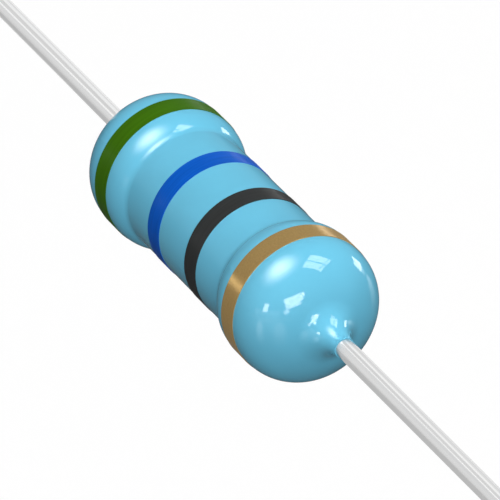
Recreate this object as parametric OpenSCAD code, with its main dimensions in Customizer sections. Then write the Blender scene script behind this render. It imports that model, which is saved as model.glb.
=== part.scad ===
// Axial-lead film resistor of the 3 W size, with a lacquered dog-bone body and four colour bands.
// The origin is the middle of the body, +X runs along the leads towards the tolerance band, +Z is up.
// Sizes are in millimetres.

/* [Ceramic core] */
// Diameter of the ceramic rod
core_d = 4.4; // [3.6:0.1:5.6]
// Length of the ceramic rod
core_len = 12.5; // [11:0.1:16]
// Chamfer on the rod's two ends
core_chamfer = 0.25; // [0.1:0.05:0.4]

/* [Resistive film] */
// Thickness of the film on the rod
film_t = 0.05; // [0.03:0.01:0.1]
// Turns of the helical trimming groove
groove_turns = 7; // [3:1:9]
// Width of the trimming groove
groove_w = 0.2; // [0.1:0.05:0.4]
// Plain film between the groove and each cap's rim
film_margin = 0.45; // [0.2:0.05:1]

/* [End caps] */
// Sheet thickness of the drawn caps
cap_wall = 0.3; // [0.2:0.05:0.4]
// Outside length of a cap
cap_len = 2.3; // [1.8:0.1:3]
// Outside radius of a cap's closed corner
cap_corner_r = 0.6; // [0.45:0.05:0.8]

/* [Leads] */
// Diameter of the wire
lead_d = 0.75; // [0.6:0.05:1]
// Clean length of each lead, outside the lacquer
lead_len = 28; // [10:1:40]
// Diameter of the wire's upset root, at its weld to the cap
weld_d = 1.1; // [1.05:0.05:1.4]
// Chamfer left by the cutter on the wire's tip
tip_chamfer = 0.08; // [0.04:0.02:0.2]

/* [Lacquer coat] */
// Lacquer over the film, in the middle of the body
coat_t = 0.25; // [0.15:0.05:0.4]
// Lacquer over the caps
coat_cap_t = 0.31; // [0.25:0.01:0.4]
// Radius of the hollow arc where a flank rises from the middle
flank_foot_r = 0.5; // [0.3:0.05:1]
// Radius of the round arc where a flank runs into its bulge
flank_top_r = 1.48; // [1:0.02:2]
// Distance from a cap's rim to where its flank reaches the bulge
flank_lap = 0.45; // [0.3:0.05:0.8]
// Radius of the shoulder where a bulge turns into its end
shoulder_r = 1.81; // [1.6:0.01:2]
// Angle through which the shoulder turns
shoulder_turn = 45; // [40:1:50]
// Radius of the flatter dome that the shoulder runs into
dome_r = 2.62; // [2.2:0.02:3]
// Length of lacquer past a cap's end face, along the lead
run_out = 2.32; // [2.1:0.02:2.6]
// Radius of the hollow run of lacquer onto the lead
meniscus_r = 1.41; // [1.1:0.01:1.6]
// Angle at which the lacquer meets the lead
wetting_angle = 2; // [1:1:10]
// Thickness of the lacquer's edge on the lead
edge_t = 0.03; // [0.02:0.01:0.08]

/* [Colour bands] */
// Width of a printed band
band_w = 0.9; // [0.5:0.05:1.1]
// Thickness of the ink
ink_t = 0.03; // [0.02:0.01:0.05]
// Distance of the two inner bands from the middle of the body
inner_band_x = 1.49; // [0.8:0.01:2.2]
// Distance of the two outer bands' centres inside the caps' end faces
outer_band_set = 1.38; // [1.1:0.01:1.6]

/* [Hidden] */

$fn = 96;
// Flat facets round the film
film_facets = 36;

lead_r = lead_d / 2;
film_r = core_d / 2 + film_t;
cap_r = film_r + cap_wall;
// Distances along the axis from the middle: a cap's end face and rim
cap_face_x = core_len / 2 + cap_wall;
cap_rim_x = cap_face_x - cap_len;

// Radii of the lacquer over the middle and over a bulge
middle_r = film_r + coat_t;
bulge_r = cap_r + coat_cap_t;

// Two outlines that touch run into each other by this much, so that no sliver is left between them
arc_lap = 0.0001;
// Distance along the axis between the centres of two such arcs, from their radii's sum and distance across
function arcs_along(radii_sum, across) = sqrt(pow(radii_sum - arc_lap, 2) - pow(across, 2));

// The flank is a hollow arc that meets a round one
bulge_in_x = cap_rim_x + flank_lap;
flank_radii = flank_foot_r + flank_top_r;
flank_len = arcs_along(flank_radii, flank_radii - bulge_r + middle_r);
flank_in_x = bulge_in_x - flank_len;
flank_meet_x = flank_in_x + flank_len * flank_foot_r / flank_radii;

// The meniscus arc starts on the lead at the wetting angle. The dome's arc touches it, and runs on from the
// shoulder's arc, whose centre lies off the dome's by the difference of their radii.
coat_end_x = cap_face_x + run_out;
meniscus_c = [
    lead_r + edge_t + meniscus_r * cos(wetting_angle),
    coat_end_x + meniscus_r * sin(wetting_angle)
];
shoulder_from_dome = (dome_r - shoulder_r + arc_lap) * [cos(shoulder_turn), sin(shoulder_turn)];
dome_c_r = bulge_r - shoulder_r - shoulder_from_dome.x;
dome_run = arcs_along(dome_r + meniscus_r, meniscus_c.x - dome_c_r);
dome_c = [dome_c_r, meniscus_c.y - dome_run];
shoulder_c = dome_c + shoulder_from_dome;
bulge_mid_x = (bulge_in_x + shoulder_c.y) / 2;
dome_in_x = shoulder_c.y + shoulder_r * sin(shoulder_turn);
arcs_meet_x = dome_c.y + dome_run * dome_r / (dome_r + meniscus_r);

outer_band_x = cap_face_x - outer_band_set;

// Turns a profile, drawn as [radius, distance along the axis], about the resistor's axis
module turned() {
    rotate([0, 90, 0]) rotate_extrude() children();
}

// A piece drawn for the right end, on the end that side gives: 1 right, -1 left
module at_end(side) {
    mirror([side < 0 ? 1 : 0, 0, 0]) children();
}

// Area from the axis out to the convex arc of a circle, between two places along the axis
module under_convex(centre, radius, from_x, to_x) {
    translate([0, from_x]) square([centre.x, to_x - from_x]);
    intersection() {
        translate(centre) circle(radius);
        translate([0, from_x]) square([centre.x + 2 * radius, to_x - from_x]);
    }
}

// Area from the axis out to the concave arc of a circle, between two places along the axis
module under_concave(centre, radius, from_x, to_x) {
    difference() {
        translate([0, from_x]) square([centre.x, to_x - from_x]);
        translate(centre) circle(radius);
    }
}

// A straight run of one radius, the same length on both sides of the middle
module middle_run(radius, half_len) {
    translate([0, -half_len]) square([radius, 2 * half_len]);
}

// Outside of the lacquer's right end, filled to the axis. Its areas overlap wherever they follow each other.
module coat_end_outline() {
    under_concave([middle_r + flank_foot_r - arc_lap, flank_in_x], flank_foot_r, flank_in_x, flank_meet_x);
    under_convex([bulge_r - flank_top_r, bulge_in_x], flank_top_r, flank_in_x, bulge_mid_x);
    translate([0, bulge_in_x]) square([bulge_r, shoulder_c.y - bulge_in_x]);
    under_convex(shoulder_c, shoulder_r, bulge_mid_x, (dome_in_x + shoulder_c.y + shoulder_r) / 2);
    under_convex(dome_c, dome_r, dome_in_x, (arcs_meet_x + dome_c.y + dome_r) / 2);
    under_concave(meniscus_c, meniscus_r, arcs_meet_x, coat_end_x);
}

// A right end's outline and the left end's
module both_ends() {
    children();
    mirror([0, 1]) children();
}

// Outside of the whole lacquer, filled to the axis
module coat_outline() {
    middle_run(middle_r, flank_meet_x);
    both_ends() coat_end_outline();
}

// Outside of a cap, filled to the axis: a straight wall and a rounded closed corner
module cap_outline() {
    corner = [cap_r - cap_corner_r, cap_face_x - cap_corner_r];
    translate([0, cap_rim_x]) square([cap_r, corner.y - cap_rim_x]);
    under_convex(corner, cap_corner_r, corner.y, cap_face_x);
}

// The space in a cap that the filmed rod fills, with the corner that drawing leaves
module cap_inside_outline() {
    corner_r = cap_corner_r - cap_wall;
    corner = [film_r - corner_r, core_len / 2 - corner_r];
    translate([0, cap_rim_x]) square([film_r, corner.y - cap_rim_x]);
    under_convex(corner, corner_r, corner.y, core_len / 2);
}

// Half of a lead's length: the upset root under the lacquer, then the clean wire to its cut tip
module lead_outline() {
    tip_x = coat_end_x + lead_len;
    polygon([
        [0, cap_face_x],
        [weld_d / 2, cap_face_x],
        [lead_r, coat_end_x],
        [lead_r, tip_x - tip_chamfer],
        [lead_r - tip_chamfer, tip_x],
        [0, tip_x]
    ]);
}

module ceramic_core() {
    core_r = core_d / 2;
    end_x = core_len / 2;
    wall_x = end_x - core_chamfer;
    end_r = core_r - core_chamfer;
    color("ivory") turned() polygon([
        [0, -end_x], [end_r, -end_x], [core_r, -wall_x], [core_r, wall_x], [end_r, end_x], [0, end_x]
    ]);
}

// The film is a tube cut through by a helical groove with blunt ends. Each column of points round the tube
// holds, from left to right: the tube's end, the groove's two edges for each turn, the tube's other end.
module resistive_film() {
    tube_end = core_len / 2 - core_chamfer;
    groove_from = -(cap_rim_x - film_margin);
    pitch = (-2 * groove_from - groove_w) / groove_turns;
    levels = 2 * groove_turns + 4;
    far_level = levels - 1;
    step = 360 / film_facets;
    // The inner facets touch the rod at their middles, and the outer ones touch the lacquer at their edges
    radii = [film_r, core_d / 2 / cos(step / 2)];

    function edge_x(column, level) =
        let (turns = floor((level - 1) / 2) + column / film_facets)
        groove_from + pitch * turns + (level % 2 == 0 ? groove_w : 0);
    function level_x(column, level) =
        level == 0 ? -tube_end : level == far_level ? tube_end : edge_x(column, level);
    // Past the last column the groove has moved on by one turn, which is two levels
    function at(side, column, level) =
        let (
            wrapped = column == film_facets,
            on_end = level == 0 || level == far_level,
            real_level = wrapped && !on_end ? level + 2 : level
        )
        (side * film_facets + (wrapped ? 0 : column)) * levels + real_level;
    // The same face seen from its other side, from the same first point
    function flipped(face) = [for (i = [0:len(face) - 1]) face[(len(face) - i) % len(face)]];
    // A strip of tube wall between two columns, from one level to another
    function strip(side, column, low, high) = [
        at(side, column, low), at(side, column, high), at(side, column + 1, high), at(side, column + 1, low)
    ];
    // The first and the last strips take in the points where the groove ends bluntly
    function first_strip(side, column) =
        column < film_facets - 1 ? strip(side, column, 0, 1)
        : [
            at(side, column, 0), at(side, column, 1), at(side, column + 1, 1),
            at(side, 0, 2), at(side, 0, 1), at(side, 0, 0)
        ];
    function last_strip(side, column) =
        column > 0 ? strip(side, column, far_level - 3, far_level)
        : [
            at(side, 1, far_level - 3), at(side, 0, far_level - 3), at(side, 0, far_level - 2),
            at(side, 0, far_level - 1), at(side, 0, far_level), at(side, 1, far_level)
        ];
    function tube_faces(side) = [
        for (column = [0:film_facets - 1]) each [
            first_strip(side, column),
            for (turn = [1:1:groove_turns - 1]) strip(side, column, 2 * turn, 2 * turn + 1),
            last_strip(side, column)
        ]
    ];
    // The wall between the outside and the inside along one level, facing right where the level is odd
    function wall(column, level) =
        let (
            faces = [
                [at(0, column + 1, level), at(0, column, level), at(1, column, level)],
                [at(0, column + 1, level), at(1, column, level), at(1, column + 1, level)]
            ]
        )
        level % 2 == 1 ? faces : [for (f = faces) flipped(f)];
    function blunt_end(low) = [at(0, 0, low), at(0, 0, low + 1), at(1, 0, low + 1), at(1, 0, low)];

    points = [
        for (r = radii, column = [0:film_facets - 1], level = [0:far_level])
        [r * cos(step * column), r * sin(step * column), level_x(column, level)]
    ];
    walls = [
        for (column = [0:film_facets - 1], level = [each [0:far_level - 3], far_level])
        each wall(column, level)
    ];
    faces = concat(
        tube_faces(0),
        [for (face = tube_faces(1)) flipped(face)],
        walls,
        [blunt_end(1), flipped(blunt_end(far_level - 2))]
    );
    color("dimgray") rotate([0, 90, 0]) polyhedron(points, faces);
}

module end_cap(side) {
    color("silver") at_end(side) turned() difference() {
        cap_outline();
        cap_inside_outline();
    }
}

module lead(side) {
    color("gainsboro") at_end(side) turned() lead_outline();
}

// One skin of lacquer, with the space that the rod, the caps and the leads' roots fill
module lacquer_coat() {
    color("skyblue") turned() difference() {
        coat_outline();
        middle_run(film_r, cap_rim_x);
        both_ends() {
            cap_outline();
            lead_outline();
        }
    }
}

// A ring of ink that follows the lacquer under it, centred at a place along the axis
module band(centre_x, ink) {
    color(ink) turned() intersection() {
        difference() {
            translate([ink_t, 0]) coat_outline();
            coat_outline();
        }
        translate([middle_r / 2, centre_x - band_w / 2]) square([bulge_r, band_w]);
    }
}

ceramic_core();
resistive_film();
end_cap(-1);  // end_cap_left
end_cap(1);  // end_cap_right
lead(-1);  // lead_left
lead(1);  // lead_right
lacquer_coat();
band(-outer_band_x, "darkgreen");  // band_first_digit
band(-inner_band_x, "mediumblue");  // band_second_digit
band(inner_band_x, "black");  // band_multiplier
band(outer_band_x, "goldenrod");  // band_tolerance
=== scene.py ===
"""Looks of an axial-lead film resistor: lacquer, printed bands and tinned leads in a white studio."""

import math

import bpy
from mathutils import Matrix, Vector


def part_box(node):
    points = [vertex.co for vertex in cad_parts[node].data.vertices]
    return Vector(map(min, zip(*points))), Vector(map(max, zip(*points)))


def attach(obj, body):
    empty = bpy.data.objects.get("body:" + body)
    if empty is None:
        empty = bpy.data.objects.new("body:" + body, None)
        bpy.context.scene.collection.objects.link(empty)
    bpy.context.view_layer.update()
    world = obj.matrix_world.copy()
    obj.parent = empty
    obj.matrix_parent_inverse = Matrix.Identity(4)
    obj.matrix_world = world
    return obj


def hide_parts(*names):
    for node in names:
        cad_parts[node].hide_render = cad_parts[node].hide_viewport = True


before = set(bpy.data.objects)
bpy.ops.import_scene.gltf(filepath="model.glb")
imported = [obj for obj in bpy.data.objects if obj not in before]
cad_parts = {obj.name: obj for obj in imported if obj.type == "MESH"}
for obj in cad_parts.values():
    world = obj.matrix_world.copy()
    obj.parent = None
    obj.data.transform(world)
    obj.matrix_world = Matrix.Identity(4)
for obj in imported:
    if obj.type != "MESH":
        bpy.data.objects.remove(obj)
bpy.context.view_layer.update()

MM = 0.001

# Lacquer profile in millimetres, as in the part's source
MIDDLE_R = 2.5
BULGE_R = 2.86
FLANK_FOOT_R = 0.5
FLANK_TOP_R = 1.48
FLANK_LAP = 0.45
SHOULDER_R = 1.81
SHOULDER_TURN = math.radians(45)
DOME_R = 2.62
MENISCUS_R = 1.41
WETTING_ANGLE = math.radians(2)
EDGE_T = 0.03

# Inside of the lacquer, which follows the film, the caps and the leads' roots
FILM_R = 2.25
CAP_CORNER_R = 0.6
WELD_R = 0.55
LEAD_R = 0.375
TIP_CHAMFER = 0.08

# Printed ink, a little thinner than the solid's 0.03, so that its edge catches no bright line
INK_T = 0.02
INK_EDGE_R = 0.015
# Bands of plain ink: node, radius of the lacquer under it, slot and colour
INK_BANDS = [
    ("band_first_digit", BULGE_R, "green_ink", (0.042, 0.138, 0.003)),
    ("band_second_digit", MIDDLE_R, "blue_ink", (0.004, 0.097, 0.515)),
    ("band_multiplier", MIDDLE_R, "black_ink", (0.033, 0.035, 0.035)),
]

# Facets round the axis, and the longest step along an arc
AROUND = 288
LEAD_AROUND = 96
ARC_STEP = math.radians(2)
# Edges steeper than this stay sharp
SHARP_ANGLE = math.radians(40)
# Noise values between which a finish runs from one colour or roughness to the other
NOISE_LOW = 0.3
NOISE_HIGH = 0.7


def millimetres(corner):
    """A corner of a node's box, in millimetres."""
    return Vector(corner) / MM


cap_low, cap_high = (millimetres(c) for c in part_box("end_cap_right"))
CAP_RIM_X, CAP_FACE_X, CAP_R = cap_low.x, cap_high.x, cap_high.z
COAT_END_X = millimetres(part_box("lacquer_coat")[1]).x
LEAD_TIP_X = millimetres(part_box("lead_right")[1]).x


def arc(centre, radius, start, end):
    """Points [x, r] of an arc, with angles from the +X direction towards +R."""
    steps = max(2, math.ceil(abs(end - start) / ARC_STEP))
    turns = [start + (end - start) * i / steps for i in range(steps + 1)]
    return [(centre[0] + radius * math.cos(a), centre[1] + radius * math.sin(a)) for a in turns]


def coat_end_points():
    """Outside of the lacquer's right end, from the middle's flank to the lead."""
    top = math.pi / 2
    bulge_in_x = CAP_RIM_X + FLANK_LAP
    flank_sum = FLANK_FOOT_R + FLANK_TOP_R
    flank_slope = math.acos(1 - (BULGE_R - MIDDLE_R) / flank_sum)
    flank_in_x = bulge_in_x - flank_sum * math.sin(flank_slope)
    foot_c = (flank_in_x, MIDDLE_R + FLANK_FOOT_R)
    crest_c = (bulge_in_x, BULGE_R - FLANK_TOP_R)

    meniscus_c = (
        COAT_END_X + MENISCUS_R * math.sin(WETTING_ANGLE),
        LEAD_R + EDGE_T + MENISCUS_R * math.cos(WETTING_ANGLE),
    )
    shift = DOME_R - SHOULDER_R
    dome_c_r = BULGE_R - SHOULDER_R - shift * math.cos(SHOULDER_TURN)
    end_slope = math.acos((meniscus_c[1] - dome_c_r) / (DOME_R + MENISCUS_R))
    dome_c = (meniscus_c[0] - (DOME_R + MENISCUS_R) * math.sin(end_slope), dome_c_r)
    shoulder_c = (dome_c[0] + shift * math.sin(SHOULDER_TURN), BULGE_R - SHOULDER_R)

    return (
        arc(foot_c, FLANK_FOOT_R, -top, -top + flank_slope)
        + arc(crest_c, FLANK_TOP_R, top + flank_slope, top)[1:]
        + arc(shoulder_c, SHOULDER_R, top, top - SHOULDER_TURN)
        + arc(dome_c, DOME_R, top - SHOULDER_TURN, top - end_slope)[1:]
        + arc(meniscus_c, MENISCUS_R, -top - end_slope, -top - WETTING_ANGLE)[1:]
    )


def inside_points():
    """Inside of the lacquer's right end, from the lead back to the film."""
    corner_c = (CAP_FACE_X - CAP_CORNER_R, CAP_R - CAP_CORNER_R)
    return (
        [(COAT_END_X, LEAD_R), (CAP_FACE_X, WELD_R)]
        + arc(corner_c, CAP_CORNER_R, 0, math.pi / 2)
        + [(CAP_RIM_X, CAP_R), (CAP_RIM_X, FILM_R)]
    )


def mirrored(points):
    """The same run of points on the left end, in the opposite order."""
    return [(-x, r) for x, r in reversed(points)]


def turned(name, points, around, closed):
    """A mesh turned about the X axis. An open run of points starts and ends on the axis."""
    verts, rings = [], []
    for x, r in points:
        if r == 0:
            rings.append([len(verts)])
            verts.append((x * MM, 0, 0))
            continue
        rings.append(range(len(verts), len(verts) + around))
        for i in range(around):
            a = math.tau * i / around
            verts.append((x * MM, r * math.cos(a) * MM, r * math.sin(a) * MM))
    faces = []
    pairs = list(zip(rings, rings[1:] + rings[:1] if closed else rings[1:]))
    for near, far in pairs:
        for i in range(around):
            j = (i + 1) % around
            corners = [near[i % len(near)], near[j % len(near)], far[j % len(far)], far[i % len(far)]]
            faces.append(list(dict.fromkeys(corners)))
    mesh = bpy.data.meshes.new(name)
    mesh.from_pydata(verts, [], faces)
    mesh.validate()
    mesh.update()
    mesh.polygons.foreach_set("use_smooth", [True] * len(mesh.polygons))
    mesh.set_sharp_from_angle(angle=SHARP_ANGLE)
    piece = bpy.data.objects.new(name, mesh)
    bpy.context.scene.collection.objects.link(piece)
    return piece


def placed(piece, node, material):
    """Puts a piece in the place of its CAD node, with its finish."""
    piece.data.materials.append(material)
    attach(piece, "root")
    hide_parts(node)


class Finish:
    """A node material with one Principled shader, and short ways to add the nodes that vary it."""

    def __init__(self, name, **values):
        self.material = bpy.data.materials.new(name)
        self.material.use_nodes = True
        self.tree = self.material.node_tree
        self.shader = self.tree.nodes["Principled BSDF"]
        for socket, value in values.items():
            self.shader.inputs[socket.replace("_", " ")].default_value = value
        self.place = self.tree.nodes.new("ShaderNodeTexCoord").outputs["Object"]

    def link(self, output, socket):
        """Links a node's output to a socket of the shader."""
        self.tree.links.new(output, self.shader.inputs[socket])

    def noise(self, scale, detail=3.0):
        """Noise between 0 and 1. The scale is in cycles per metre along X, Y and Z."""
        mapping = self.tree.nodes.new("ShaderNodeMapping")
        mapping.inputs["Scale"].default_value = scale
        node = self.tree.nodes.new("ShaderNodeTexNoise")
        node.inputs["Scale"].default_value = 1.0
        node.inputs["Detail"].default_value = detail
        self.tree.links.new(self.place, mapping.inputs["Vector"])
        self.tree.links.new(mapping.outputs["Vector"], node.inputs["Vector"])
        return node.outputs["Fac"]

    def colours(self, factor, low, high):
        """Base colour that runs from one colour to another with a factor."""
        ramp = self.tree.nodes.new("ShaderNodeValToRGB")
        ramp.color_ramp.elements[0].position = NOISE_LOW
        ramp.color_ramp.elements[1].position = NOISE_HIGH
        ramp.color_ramp.elements[0].color = (*low, 1)
        ramp.color_ramp.elements[1].color = (*high, 1)
        self.tree.links.new(factor, ramp.inputs["Fac"])
        self.link(ramp.outputs["Color"], "Base Color")

    def roughness(self, factor, low, high):
        """Roughness that runs from one value to another with a factor."""
        span = self.tree.nodes.new("ShaderNodeMapRange")
        span.inputs["From Min"].default_value = NOISE_LOW
        span.inputs["From Max"].default_value = NOISE_HIGH
        span.inputs["To Min"].default_value = low
        span.inputs["To Max"].default_value = high
        self.tree.links.new(factor, span.inputs["Value"])
        self.link(span.outputs["Result"], "Roughness")

    def bump(self, height, depth):
        """Bump whose full height is a depth in metres."""
        node = self.tree.nodes.new("ShaderNodeBump")
        node.inputs["Distance"].default_value = depth
        self.tree.links.new(height, node.inputs["Height"])
        self.link(node.outputs["Normal"], "Normal")


def tinted(colour, factor):
    """A colour made lighter or darker."""
    return tuple(channel * factor for channel in colour)


def even(cycles):
    """The same noise scale along all three axes."""
    return (cycles, cycles, cycles)


def lacquer_finish():
    """Baked lacquer: pooled pigment, a mirror-smooth skin with a trace of orange peel."""
    blue = (0.148, 0.542, 0.755)
    finish = Finish("lacquer", IOR=1.5)
    finish.colours(finish.noise(even(350)), low=tinted(blue, 0.97), high=tinted(blue, 1.03))
    finish.roughness(finish.noise(even(900)), low=0.055, high=0.075)
    finish.bump(finish.noise(even(1800), detail=1.0), depth=4e-7)
    return finish.material


def ink_finish(name, colour):
    """Printed ink: drawn out round the body by the printing wheel, a little uneven in thickness."""
    finish = Finish(name, IOR=1.5, Specular_IOR_Level=0.06)
    finish.colours(finish.noise((9000, 500, 500)), low=tinted(colour, 0.9), high=tinted(colour, 1.1))
    finish.roughness(finish.noise(even(2500)), low=0.31, high=0.39)
    finish.bump(finish.noise((12000, 900, 900)), depth=1.2e-6)
    return finish.material


def gold_finish():
    """Metallic ink: fine flakes in a warm binder."""
    finish = Finish("gold_ink", Metallic=0.4, IOR=1.1, Specular_IOR_Level=0.1)
    flakes = finish.noise(even(14000), detail=4.0)
    finish.colours(flakes, low=(0.432, 0.284, 0.106), high=(0.50, 0.333, 0.126))
    finish.roughness(finish.noise(even(9000)), low=0.2, high=0.26)
    finish.bump(finish.noise(even(7000), detail=1.0), depth=2e-7)
    return finish.material


def tin_finish():
    """Bright tin on drawn wire: faint die lines along the wire."""
    finish = Finish("tinned_wire", Metallic=1.0)
    lines = finish.noise((40, 7000, 7000))
    finish.colours(lines, low=(0.83, 0.835, 0.84), high=(0.92, 0.92, 0.915))
    finish.roughness(finish.noise((120, 5000, 5000)), low=0.13, high=0.2)
    finish.bump(finish.noise((60, 9000, 9000), detail=2.0), depth=4e-7)
    return finish.material


def steel_finish():
    """Drawn cap: lines along the draw, dull tin over steel."""
    finish = Finish("cap_steel", Metallic=1.0)
    lines = finish.noise((500, 6000, 6000))
    finish.colours(lines, low=(0.60, 0.59, 0.57), high=(0.72, 0.71, 0.69))
    finish.roughness(finish.noise(even(3000)), low=0.3, high=0.42)
    finish.bump(finish.noise((300, 8000, 8000)), depth=2e-6)
    return finish.material


def film_finish():
    """Dull metal film, with a grain from the rod under it."""
    finish = Finish("film", Metallic=0.9)
    finish.colours(finish.noise(even(8000)), low=(0.26, 0.25, 0.24), high=(0.38, 0.37, 0.36))
    finish.roughness(finish.noise(even(5000)), low=0.4, high=0.55)
    finish.bump(finish.noise(even(9000)), depth=2e-6)
    return finish.material


def ceramic_finish():
    """Fired ceramic: matte and off-white, with a fine grain."""
    finish = Finish("ceramic")
    finish.colours(finish.noise(even(6000)), low=(0.80, 0.78, 0.73), high=(0.89, 0.87, 0.83))
    finish.roughness(finish.noise(even(4000)), low=0.7, high=0.85)
    finish.bump(finish.noise(even(7000)), depth=4e-6)
    return finish.material


def build_lacquer():
    """The lacquer skin, outside and inside, as one closed mesh."""
    end = coat_end_points()
    outside = mirrored(end) + end
    inside = inside_points() + mirrored(inside_points())
    piece = turned("lacquer_body", outside + inside, AROUND, closed=True)
    placed(piece, "lacquer_coat", lacquer_finish())


def build_band(node, under_r, material):
    """A printed ring with softly rounded edges, on the lacquer that carries it."""
    low_x, high_x = (millimetres(c).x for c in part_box(node))
    top_c_r = under_r + INK_T - INK_EDGE_R
    points = (
        [(low_x, under_r)]
        + arc((low_x + INK_EDGE_R, top_c_r), INK_EDGE_R, math.pi, math.pi / 2)
        + arc((high_x - INK_EDGE_R, top_c_r), INK_EDGE_R, math.pi / 2, 0)
        + [(high_x, under_r)]
    )
    piece = turned(node.replace("band", "ink"), points, AROUND, closed=True)
    placed(piece, node, material)
    return piece


def build_lead(node, side, material):
    """A wire with its cone-shaped root under the lacquer and a bevelled tip."""
    points = [
        (CAP_FACE_X, 0),
        (CAP_FACE_X, WELD_R),
        (COAT_END_X, LEAD_R),
        (LEAD_TIP_X - TIP_CHAMFER, LEAD_R),
        (LEAD_TIP_X, LEAD_R - TIP_CHAMFER),
        (LEAD_TIP_X, 0),
    ]
    piece = turned(
        node.replace("lead", "wire"),
        mirrored(points) if side < 0 else points,
        LEAD_AROUND,
        closed=False,
    )
    placed(piece, node, material)
    return piece


def dress_hidden_nodes():
    """Finishes for the CAD nodes that the lacquer covers."""
    steel = steel_finish()
    finishes = {
        "ceramic_core": ceramic_finish(),
        "resistive_film": film_finish(),
        "end_cap_left": steel,
        "end_cap_right": steel,
    }
    for node, material in finishes.items():
        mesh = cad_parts[node].data
        mesh.materials.clear()
        mesh.materials.append(material)


# Camera, from the photograph: it looks along a long lens at a place just off the resistor's axis
CAMERA_AZIMUTH = math.radians(62.8)
CAMERA_ELEVATION = math.radians(30.9)
CAMERA_DISTANCE = 294 * MM
CAMERA_LENS = 576.9
CAMERA_SENSOR = 36.0
AIM_X = 1.286 * MM
AIM_OFF_AXIS = 0.09 * MM

# Lamps, seen from the near dome that mirrors them
DOME_CENTRE = Vector((6.0, 0, 0)) * MM
LIGHT_DISTANCE = 0.8
KEY_DIRECTION = (-0.09, -0.40, 0.91)
# Broad lamps: name, direction, level and spread
SUNS = [
    ("key", KEY_DIRECTION, 0.38, math.radians(40)),
    ("fill", (0.8, -0.57, 0.1), 0.27, math.radians(80)),
    ("back_fill", (-0.5, 0.85, 0.05), 0.4, math.radians(90)),
]
GLOW_RADIANCE = 13.0
GLOW_SPAN = 0.966
GLOW_FALL = 7.5
# Windows: name, direction, level direction and panes
# A pane has a radiance, and its left, right, low and high at unit distance
WINDOWS = [
    ("high_window", (0.272, 0.363, 0.891), (0.535, 0.713, -0.454), [
        (6.6, (-0.25, 0.205, 0.008, 0.245)),
        (6.6, (0.225, 0.28, 0.008, 0.245)),
        (6.6, (-0.25, 0.205, -0.27, -0.03)),
        (6.6, (0.225, 0.28, -0.27, -0.03)),
    ]),
    ("front_window", (0.910, -0.313, 0.271), (0.264, 0.943, 0.207), [
        (10.5, (-0.23, 0.27, 0.09, 0.19)),
        (10.0, (-0.21, 0.23, 0.0, 0.09)),
        (8.5, (-0.20, 0.17, -0.09, 0.0)),
        (5.0, (-0.27, -0.13, -0.19, -0.09)),
    ]),
    ("side_window", (-0.137, 0.978, 0.160), (-1, 0, 0), [
        (7.0, (-0.145, 0.145, -0.10, 0.10)),
        (1.4, (-0.123, 0.035, -0.19, -0.10)),
    ]),
    ("small_window", (0.439, -0.880, 0.182), (0.895, 0.446, 0), [(9.5, (-0.09, 0.09, -0.09, 0.105))]),
]
# Dim wall below the front windows, for the gloss: direction, level direction, radiance and spans
FRONT_WALL = ((0.5, -0.865, 0.05), (0.866, 0.5, 0), 0.8, (-0.5, 0.42, -0.05, 0.09))
# Lamps in front, by the start of their names, which shine past the wires as if these threw no shadow
FRONT_LAMPS = ("fill", "front_window")
# Small windows behind, which give the printed bands their sheen
BACK_PANE = (-0.06, 0.06, -0.04, 0.08)
BACK_WINDOWS = [
    ("back_right_window", (-0.763, 0.646, 0.05), (-0.646, -0.763, 0), [(3.3, BACK_PANE)]),
    ("back_left_window", (-0.763, -0.646, 0.05), (0.646, -0.763, 0), [(4.6, BACK_PANE)]),
]
# Pale cards for the wires' mirror finish: a wall behind with brighter strips, and the rest of a room
# Each has a direction, a level direction, a radiance and spans at unit distance
WALL_DISTANCE = 2.5
CARD_GAP = 0.02
WALL_CARDS = [
    ((-1, 0, 0), (0, -1, 0), 0.52, (-1.3, 1.3, -0.01, 1.3)),
    ((-1, 0, 0), (0, -1, 0), 0.36, (0.25, 0.43, -0.01, 1.3)),
    ((-1, 0, 0), (0, -1, 0), 0.26, (-0.63, -0.25, -0.01, 1.3)),
    ((-1, 0, 0), (0, -1, 0), 0.06, (0.46, 1.3, -0.01, 1.3)),
    ((-1, 0, 0), (0, -1, 0), 0.06, (-1.3, -0.63, -0.01, 1.3)),
    ((1, 0, 0), (0, 1, 0), 0.45, (-1.3, 1.3, -0.01, 1.3)),
    ((0, -1, 0), (1, 0, 0), 0.4, (-0.75, 0.7, 0.0, 1.0)),
    ((0, 1, 0), (-1, 0, 0), 0.4, (-0.7, 0.75, 0.0, 1.0)),
    ((0, 0, 1), (1, 0, 0), 0.55, (-0.75, 0.7, -0.8, 0.8)),
]
# Pale cards on the floor: radiance, and ends along X and Y. The first is for the gold band too
FLOOR_CARDS = [
    (0.14, (-2.4, 2.4, -2.4, 2.4)),
    (0.3, (-2.4, 2.4, -2.4, 2.4)),
    (0.17, (-2.4, -0.1, -2.4, 2.4)),
    (0.3, (-2.4, -0.04, 0.0, 2.4)),
]
# Painted gleams of the windows on the floor, for the gloss: the floor itself glows there, and only
# glossy rays see it
# Each has an azimuth, a distance, half a length, half a width and a radiance
GLEAMS = [
    (math.radians(186.5), 0.25, 0.21, 0.025, 1.3),
    (math.radians(20.5), 0.12, 0.09, 0.015, 1.4),
    (math.radians(54), 0.12, 0.09, 0.018, 0.9),
    (math.radians(32), 0.2, 0.175, 0.09, 0.5),
    (math.radians(32), 0.7, 0.57, 0.42, 0.9),
]
# Share of a gleam's radius over which it fades
GLEAM_EDGE = 0.4

FLOOR_DROP = 25 * MM
FLOOR_SIZE = 6.0
FLOOR_GREY = 0.07
# White that the floor or the world adds, by the kind of ray that meets it
FLOOR_WHITE = {"Is Camera Ray": 0.92, "Is Glossy Ray": 0.02, "Is Transmission Ray": 0.92}
WORLD_LEVEL = {
    "Is Camera Ray": 1.0,
    "Is Diffuse Ray": 0.05,
    "Is Glossy Ray": 0.2,
    "Is Transmission Ray": 1.0,
}


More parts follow.
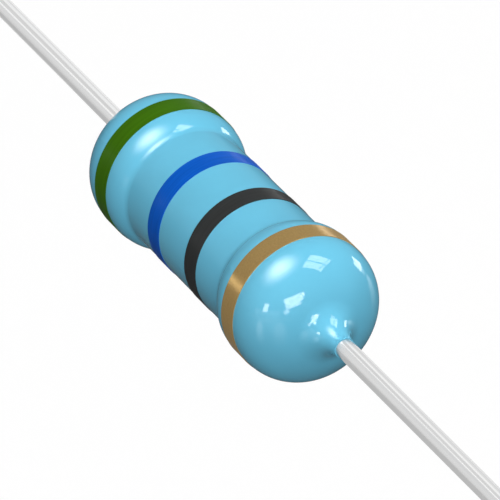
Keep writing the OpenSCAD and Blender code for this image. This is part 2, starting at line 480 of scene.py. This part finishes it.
def heading(azimuth, elevation):
    """Unit vector towards an azimuth, which is 0 at -Y and 90 degrees at +X, and an elevation."""
    return Vector((
        math.sin(azimuth) * math.cos(elevation),
        -math.cos(azimuth) * math.cos(elevation),
        math.sin(elevation),
    ))


def facing(back, right):
    """Rotation of a camera or lamp, with its back along one vector and its right side near another."""
    back = back.normalized()
    up = back.cross(right).normalized()
    return Matrix((up.cross(back), up, back)).transposed().to_4x4()


def add_camera():
    """The camera that took the photograph."""
    back = heading(CAMERA_AZIMUTH, CAMERA_ELEVATION)
    turn = facing(back, Vector((math.cos(CAMERA_AZIMUTH), math.sin(CAMERA_AZIMUTH), 0)))
    right, up = turn.col[0].xyz, turn.col[1].xyz
    aim = Vector((AIM_X, 0, 0)) + AIM_OFF_AXIS * (right + up).normalized()
    data = bpy.data.cameras.new("camera")
    data.sensor_width = CAMERA_SENSOR
    data.lens = CAMERA_LENS
    camera = bpy.data.objects.new("camera", data)
    camera.matrix_world = Matrix.Translation(aim + back * CAMERA_DISTANCE) @ turn
    bpy.context.scene.collection.objects.link(camera)
    bpy.context.scene.camera = camera


def add_lamp(name, centre, away, across, size, radiance):
    """A rectangular lamp that shines against a direction and that the camera doesn't see."""
    data = bpy.data.lights.new(name, "AREA")
    data.shape = "RECTANGLE"
    data.size, data.size_y = size
    data.energy = radiance * math.pi * size[0] * size[1]
    lamp = bpy.data.objects.new(name, data)
    lamp.matrix_world = Matrix.Translation(centre) @ facing(away, across)
    lamp.visible_camera = False
    bpy.context.scene.collection.objects.link(lamp)
    return lamp


def add_panel(name, direction, across, spans, radiance, distance=LIGHT_DISTANCE):
    """A lamp that faces the near dome. Its spans, left, right, low and high, are for unit distance."""
    left, right, low, high = (span * distance for span in spans)
    away, across = Vector(direction).normalized(), Vector(across)
    offset = Vector(((left + right) / 2, (low + high) / 2, distance))
    centre = DOME_CENTRE + facing(away, across).to_3x3() @ offset
    return add_lamp(name, centre, away, across, (right - left, high - low), radiance)


def soften(lamp):
    """Makes a lamp fade from its centre, which is put at zero, to a round edge at one."""
    lamp.data.use_nodes = True
    tree = lamp.data.node_tree
    place = tree.nodes.new("ShaderNodeNewGeometry").outputs["Parametric"]
    centred = tree.nodes.new("ShaderNodeMapping")
    centred.inputs["Location"].default_value = (-1, -1, 0)
    centred.inputs["Scale"].default_value = (2, 2, 0)
    square = tree.nodes.new("ShaderNodeVectorMath")
    square.operation = "DOT_PRODUCT"
    rest = tree.nodes.new("ShaderNodeMath")
    rest.operation = "SUBTRACT"
    rest.use_clamp = True
    rest.inputs[0].default_value = 1.0
    fall = tree.nodes.new("ShaderNodeMath")
    fall.operation = "POWER"
    fall.inputs[1].default_value = GLOW_FALL
    tree.links.new(place, centred.inputs["Vector"])
    tree.links.new(centred.outputs["Vector"], square.inputs[0])
    tree.links.new(centred.outputs["Vector"], square.inputs[1])
    tree.links.new(square.outputs["Value"], rest.inputs[1])
    tree.links.new(rest.outputs["Value"], fall.inputs[0])
    tree.links.new(fall.outputs["Value"], tree.nodes["Emission"].inputs["Strength"])


def add_sun(name, direction, level, spread):
    """A broad lamp that the gloss doesn't mirror."""
    data = bpy.data.lights.new(name, "SUN")
    data.energy = level * math.pi
    data.angle = spread
    sun = bpy.data.objects.new(name, data)
    sun.matrix_world = facing(Vector(direction), Vector((1, 0, 0)))
    sun.visible_glossy = False
    bpy.context.scene.collection.objects.link(sun)
    return sun


def add_glow():
    """The key's soft glow in the gloss."""
    span = GLOW_SPAN
    glow = add_panel("key_glow", KEY_DIRECTION, (1, 0, 0), (-span, span, -span, span), GLOW_RADIANCE)
    glow.visible_diffuse = False
    soften(glow)
    return glow


def add_front_wall():
    """The dim wall, which lights no matte surface."""
    direction, across, radiance, spans = FRONT_WALL
    wall = add_panel("front_wall", direction, across, spans, radiance, LIGHT_DISTANCE + CARD_GAP)
    wall.visible_diffuse = False
    return wall


def add_windows(windows):
    """Lamps for the panes of each window."""
    lamps = []
    for name, direction, across, panes in windows:
        for number, (radiance, spans) in enumerate(panes):
            lamps.append(add_panel(f"{name}_{number}", direction, across, spans, radiance))
    return lamps


def listed(state, pieces):
    """A light-linking list of pieces, with the state INCLUDE, or of all but these, with EXCLUDE."""
    collection = bpy.data.collections.new("linked")
    for piece in pieces:
        collection.objects.link(piece)
    for entry in collection.collection_objects:
        entry.light_linking.link_state = state
    return collection


def limit_lamps(lamps, state, pieces):
    """Lets lamps reach only some pieces, or all but those."""
    reached = listed(state, pieces)
    for lamp in lamps:
        lamp.light_linking.receiver_collection = reached


def shine_past(lamps, pieces):
    """Keeps pieces from throwing a shadow in the light of some lamps."""
    blockers = listed("EXCLUDE", pieces)
    for lamp in lamps:
        lamp.light_linking.blocker_collection = blockers


def add_wall_cards():
    """Pale cards round and above the part."""
    cards = []
    for number, (direction, across, radiance, spans) in enumerate(WALL_CARDS):
        distance = WALL_DISTANCE - number * CARD_GAP
        cards.append(add_panel(f"wall_card_{number}", direction, across, spans, radiance, distance))
    return cards


def add_floor_cards():
    """Pale cards a few millimetres above the floor, each higher than the one before."""
    cards = []
    for number, (radiance, (left, right, low, high)) in enumerate(FLOOR_CARDS):
        height = (number + 1) * MM - FLOOR_DROP
        centre = Vector(((left + right) / 2, (low + high) / 2, height))
        size = (right - left, high - low)
        name = f"floor_card_{number}"
        cards.append(add_lamp(name, centre, Vector((0, 0, -1)), Vector((1, 0, 0)), size, radiance))
    return cards


def ray_share(tree, shares):
    """How much of a white background a ray sees, by the kind of ray."""
    kinds = tree.nodes.new("ShaderNodeLightPath").outputs
    total = None
    for kind, share in shares.items():
        part = tree.nodes.new("ShaderNodeMath")
        part.operation = "MULTIPLY_ADD"
        part.inputs[1].default_value = share
        part.inputs[2].default_value = 0.0
        tree.links.new(kinds[kind], part.inputs[0])
        if total:
            tree.links.new(total, part.inputs[2])
        total = part.outputs["Value"]
    return total


def gleam_strength(tree):
    """Painted soft ellipses of light on the floor, each long side towards the part."""
    place = tree.nodes.new("ShaderNodeTexCoord").outputs["Object"]
    total = None
    for azimuth, distance, half_length, half_width, radiance in GLEAMS:
        ellipse = tree.nodes.new("ShaderNodeMapping")
        ellipse.vector_type = "TEXTURE"
        ellipse.inputs["Location"].default_value = DOME_CENTRE + heading(azimuth, 0) * distance
        ellipse.inputs["Rotation"].default_value = (0, 0, azimuth)
        ellipse.inputs["Scale"].default_value = (half_width, half_length, 1)
        ball = tree.nodes.new("ShaderNodeTexGradient")
        ball.gradient_type = "SPHERICAL"
        fade = tree.nodes.new("ShaderNodeMapRange")
        fade.inputs["From Max"].default_value = GLEAM_EDGE
        fade.inputs["To Max"].default_value = radiance
        tree.links.new(place, ellipse.inputs["Vector"])
        tree.links.new(ellipse.outputs["Vector"], ball.inputs["Vector"])
        tree.links.new(ball.outputs["Fac"], fade.inputs["Value"])
        summed = tree.nodes.new("ShaderNodeMath")
        summed.inputs[1].default_value = 0.0
        tree.links.new(fade.outputs["Result"], summed.inputs[0])
        if total:
            tree.links.new(total, summed.inputs[1])
        total = summed.outputs["Value"]
    return total


def add_floor():
    """A pale floor below the held part, white to the camera and still shaded by the part."""
    half = FLOOR_SIZE / 2
    mesh = bpy.data.meshes.new("floor")
    corners = [(-half, -half, 0), (half, -half, 0), (half, half, 0), (-half, half, 0)]
    mesh.from_pydata(corners, [], [(0, 1, 2, 3)])
    floor = bpy.data.objects.new("floor", mesh)
    floor.location.z = -FLOOR_DROP
    bpy.context.scene.collection.objects.link(floor)

    material = bpy.data.materials.new("floor")
    material.use_nodes = True
    tree = material.node_tree
    tree.nodes.remove(tree.nodes["Principled BSDF"])
    lit = tree.nodes.new("ShaderNodeBsdfDiffuse")
    lit.inputs["Color"].default_value = (FLOOR_GREY, FLOOR_GREY, FLOOR_GREY, 1)
    white = tree.nodes.new("ShaderNodeEmission")
    strength = tree.nodes.new("ShaderNodeMath")
    strength.operation = "MULTIPLY_ADD"
    # Painted gleams: where glossy rays meet the floor, it glows in soft ellipses
    tree.links.new(gleam_strength(tree), strength.inputs[0])
    tree.links.new(ray_share(tree, {"Is Glossy Ray": 1.0}), strength.inputs[1])
    tree.links.new(ray_share(tree, FLOOR_WHITE), strength.inputs[2])
    tree.links.new(strength.outputs["Value"], white.inputs["Strength"])
    both = tree.nodes.new("ShaderNodeAddShader")
    tree.links.new(lit.outputs["BSDF"], both.inputs[0])
    tree.links.new(white.outputs["Emission"], both.inputs[1])
    tree.links.new(both.outputs["Shader"], tree.nodes["Material Output"].inputs["Surface"])
    material.cycles.emission_sampling = "NONE"
    mesh.materials.append(material)


def light_world():
    """A world that is white to the camera and dim to the part."""
    world = bpy.data.worlds.new("studio")
    world.use_nodes = True
    background = world.node_tree.nodes["Background"]
    background.inputs["Color"].default_value = (1, 1, 1, 1)
    world.node_tree.links.new(ray_share(world.node_tree, WORLD_LEVEL), background.inputs["Strength"])
    bpy.context.scene.world = world


build_lacquer()
gold_band = build_band("band_tolerance", BULGE_R, gold_finish())
bands = [gold_band]
for node, under_r, slot, colour in INK_BANDS:
    bands.append(build_band(node, under_r, ink_finish(slot, colour)))
tin = tin_finish()
wires = [build_lead("lead_left", -1, tin), build_lead("lead_right", 1, tin)]
dress_hidden_nodes()
add_camera()
suns = [add_sun(*sun) for sun in SUNS]
windows = add_windows(WINDOWS)
shine_past([lamp for lamp in suns + windows if lamp.name.startswith(FRONT_LAMPS)], wires)
limit_lamps(windows, "EXCLUDE", wires)
limit_lamps([add_glow(), add_front_wall()], "EXCLUDE", bands + wires)
limit_lamps(add_windows(BACK_WINDOWS), "INCLUDE", bands)
faint_card, *floor_cards = add_floor_cards()
limit_lamps(add_wall_cards() + floor_cards, "INCLUDE", wires)
limit_lamps([faint_card], "INCLUDE", wires + [gold_band])
add_floor()
light_world()
bpy.context.scene.view_settings.view_transform = "Standard"
